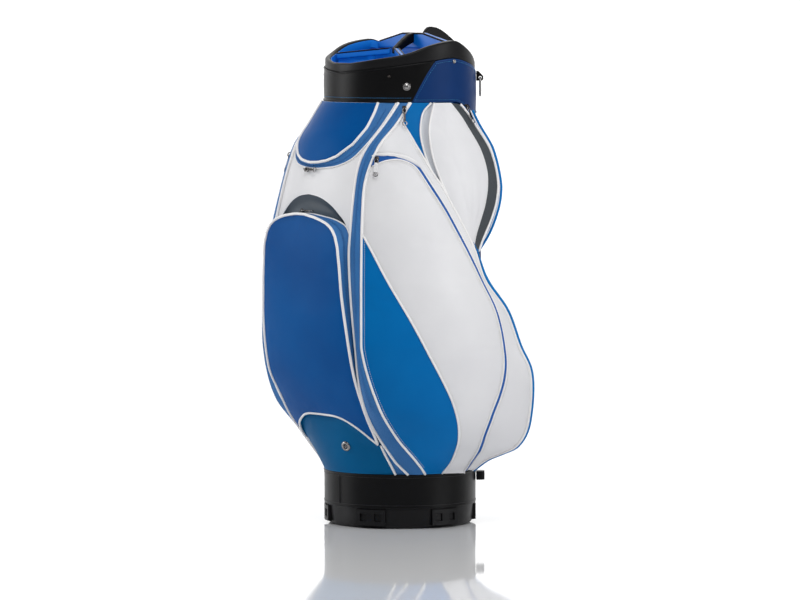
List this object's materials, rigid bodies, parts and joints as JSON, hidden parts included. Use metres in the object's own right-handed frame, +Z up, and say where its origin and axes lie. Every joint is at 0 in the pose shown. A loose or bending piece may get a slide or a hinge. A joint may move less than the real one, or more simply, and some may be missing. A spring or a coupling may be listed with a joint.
{
  "type": "golf bag",
  "caption": "Tour-size golf bag standing on a moulded base, with a saddle-shaped divided mouth, ball pocket, side apparel pockets, upper leaf-shaped pockets and zips.",
  "frame": {"origin": "centre of the base's underside", "axes": "+Z up along the bag, -Y towards the ball pocket at the front, +X to the right side pocket when seen from behind the ball pocket looking out, left and right mirror images"},
  "size_m": [0.4708, 0.372, 0.889],
  "materials": {
    "white_leather": "smooth coated synthetic leather, semi-gloss",
    "blue_leather": "coated synthetic leather with a fine grain, semi-gloss",
    "black_leather": "smooth coated synthetic leather, semi-gloss",
    "navy_leather": "coated synthetic leather with a fine grain",
    "piping": "narrow white edge binding",
    "grey_mesh": "dark grey woven edging",
    "zip_tape": "woven zip tape",
    "thread": "sewing thread",
    "lining": "brushed blue lining over foam",
    "foam": "felt-faced foam",
    "base_plastic": "moulded, satin",
    "stay_metal": "mill finish",
    "chrome_metal": "polished",
    "dark_metal": "gunmetal plating"
  },
  "bodies": {
    "root": {"base_cup": "base_plastic", "base_band": "black_leather", "base_pad": "foam", "hull_front": "lining", "hull_right": "lining", "hull_back": "lining", "hull_left": "lining", "stay_right": "stay_metal", "stay_left": "stay_metal", "collar_front": "black_leather", "collar_rear": "navy_leather", "top_rim": "base_plastic", "divider_cap_cross": "base_plastic", "divider_hub": "base_plastic", "divider_rear_grip": "base_plastic", "divider_cap_right": "base_plastic", "divider_sheet_right": "lining", "divider_cap_left": "base_plastic", "divider_sheet_left": "lining", "divider_sheet_cross": "lining", "divider_sheet_spine": "lining", "divider_sheet_rear": "lining", "front_bib": "white_leather", "accessory_pocket": "blue_leather", "ball_pocket": "blue_leather", "lower_front_panel": "blue_leather", "vent_eyelet": "chrome_metal", "side_pocket_right": "white_leather", "upper_panel_right": "blue_leather", "leaf_pocket_right": "white_leather", "side_pocket_left": "white_leather", "upper_panel_left": "blue_leather", "leaf_pocket_left": "white_leather", "back_pad": "navy_leather", "rivet_front_right": "dark_metal", "rivet_seam_right": "chrome_metal", "rivet_rear_right": "chrome_metal", "rivet_front_left": "dark_metal", "rivet_seam_left": "chrome_metal", "rivet_rear_left": "chrome_metal", "strap_ring_tab": "black_leather", "strap_tab_lower": "black_leather"},
    "ball_pocket_slider": {"ball_pocket_zip_slider": "dark_metal"},
    "ball_pocket_pull": {"ball_pocket_zip_pull": "chrome_metal"},
    "accessory_pocket_slider": {"accessory_pocket_zip_slider": "dark_metal"},
    "accessory_pocket_pull": {"accessory_pocket_zip_pull": "chrome_metal"},
    "side_pocket_right_slider": {"side_pocket_right_zip_slider": "dark_metal"},
    "side_pocket_right_pull": {"side_pocket_right_zip_pull": "chrome_metal"},
    "upper_right_slider": {"upper_right_zip_slider": "dark_metal"},
    "upper_right_pull": {"upper_right_zip_pull": "chrome_metal"},
    "leaf_pocket_right_slider": {"leaf_pocket_right_zip_slider": "dark_metal"},
    "leaf_pocket_right_pull": {"leaf_pocket_right_zip_pull": "chrome_metal"},
    "side_pocket_left_slider": {"side_pocket_left_zip_slider": "dark_metal"},
    "side_pocket_left_pull": {"side_pocket_left_zip_pull": "chrome_metal"},
    "upper_left_slider": {"upper_left_zip_slider": "dark_metal"},
    "upper_left_pull": {"upper_left_zip_pull": "chrome_metal"},
    "leaf_pocket_left_slider": {"leaf_pocket_left_zip_slider": "dark_metal"},
    "leaf_pocket_left_pull": {"leaf_pocket_left_zip_pull": "chrome_metal"},
    "strap_ring": {"strap_ring": "chrome_metal"}
  },
  "joints": [
    {"name": "ball_pocket_slider_travel", "type": "hinge", "parent": "root", "child": "ball_pocket_slider", "pos_m": [0, -0.21, 0.33], "axis": [0, 1, 0], "range_deg": [-11, 16]},
    {"name": "accessory_pocket_slider_travel", "type": "slide", "parent": "root", "child": "accessory_pocket_slider", "axis": [1, 0, 0], "range_m": [-0.006, 0.036]},
    {"name": "side_pocket_right_slider_travel", "type": "hinge", "parent": "root", "child": "side_pocket_right_slider", "pos_m": [0, 0, 0.655], "axis": [0, 0, 1], "range_deg": [0, 14]},
    {"name": "upper_right_slider_travel", "type": "slide", "parent": "root", "child": "upper_right_slider", "axis": [0.3662, -0.247, -0.8972], "range_m": [0, 0.04]},
    {"name": "leaf_pocket_right_slider_travel", "type": "slide", "parent": "root", "child": "leaf_pocket_right_slider", "axis": [0.3858, 0.1328, -0.913], "range_m": [0, 0.055]},
    {"name": "side_pocket_left_slider_travel", "type": "hinge", "parent": "root", "child": "side_pocket_left_slider", "pos_m": [0, 0, 0.655], "axis": [0, 0, 1], "range_deg": [-14, 0]},
    {"name": "upper_left_slider_travel", "type": "slide", "parent": "root", "child": "upper_left_slider", "axis": [-0.3662, -0.247, -0.8972], "range_m": [0, 0.04]},
    {"name": "leaf_pocket_left_slider_travel", "type": "slide", "parent": "root", "child": "leaf_pocket_left_slider", "axis": [-0.3858, 0.1328, -0.913], "range_m": [0, 0.055]},
    {"name": "ball_pocket_pull_swing", "type": "hinge", "parent": "ball_pocket_slider", "child": "ball_pocket_pull", "pos_m": [-0.01, -0.21, 0.5658], "axis": [0, -1, 0], "range_deg": [0, 140]},
    {"name": "accessory_pocket_pull_swing", "type": "hinge", "parent": "accessory_pocket_slider", "child": "accessory_pocket_pull", "pos_m": [-0.018, -0.19659, 0.6382], "axis": [0, -0.2607, -0.9654], "range_deg": [0, 140]},
    {"name": "side_pocket_right_pull_swing", "type": "hinge", "parent": "side_pocket_right_slider", "child": "side_pocket_right_pull", "pos_m": [0.13069, -0.15034, 0.65961], "axis": [-0.7547, -0.6561, 0], "range_deg": [0, 140]},
    {"name": "upper_right_pull_swing", "type": "hinge", "parent": "upper_right_slider", "child": "upper_right_pull", "pos_m": [0.12283, -0.08285, 0.74747], "axis": [-0.5592, -0.829, 0], "range_deg": [0, 140]},
    {"name": "leaf_pocket_right_pull_swing", "type": "hinge", "parent": "leaf_pocket_right_slider", "child": "leaf_pocket_right_pull", "pos_m": [0.13753, 0.04736, 0.74828], "axis": [0.3256, -0.9455, 0], "range_deg": [0, 140]},
    {"name": "side_pocket_left_pull_swing", "type": "hinge", "parent": "side_pocket_left_slider", "child": "side_pocket_left_pull", "pos_m": [-0.13069, -0.15034, 0.65961], "axis": [-0.7547, 0.6561, 0], "range_deg": [0, 140]},
    {"name": "upper_left_pull_swing", "type": "hinge", "parent": "upper_left_slider", "child": "upper_left_pull", "pos_m": [-0.12283, -0.08285, 0.74747], "axis": [-0.5592, 0.829, 0], "range_deg": [0, 140]},
    {"name": "leaf_pocket_left_pull_swing", "type": "hinge", "parent": "leaf_pocket_left_slider", "child": "leaf_pocket_left_pull", "pos_m": [-0.13753, 0.04736, 0.74828], "axis": [0.3256, 0.9455, 0], "range_deg": [0, 140]},
    {"name": "strap_ring_swing", "type": "hinge", "parent": "root", "child": "strap_ring", "pos_m": [0.08636, 0.1146, 0.798], "axis": [0.7986, -0.6018, 0], "range_deg": [0, 150]}
  ]
}
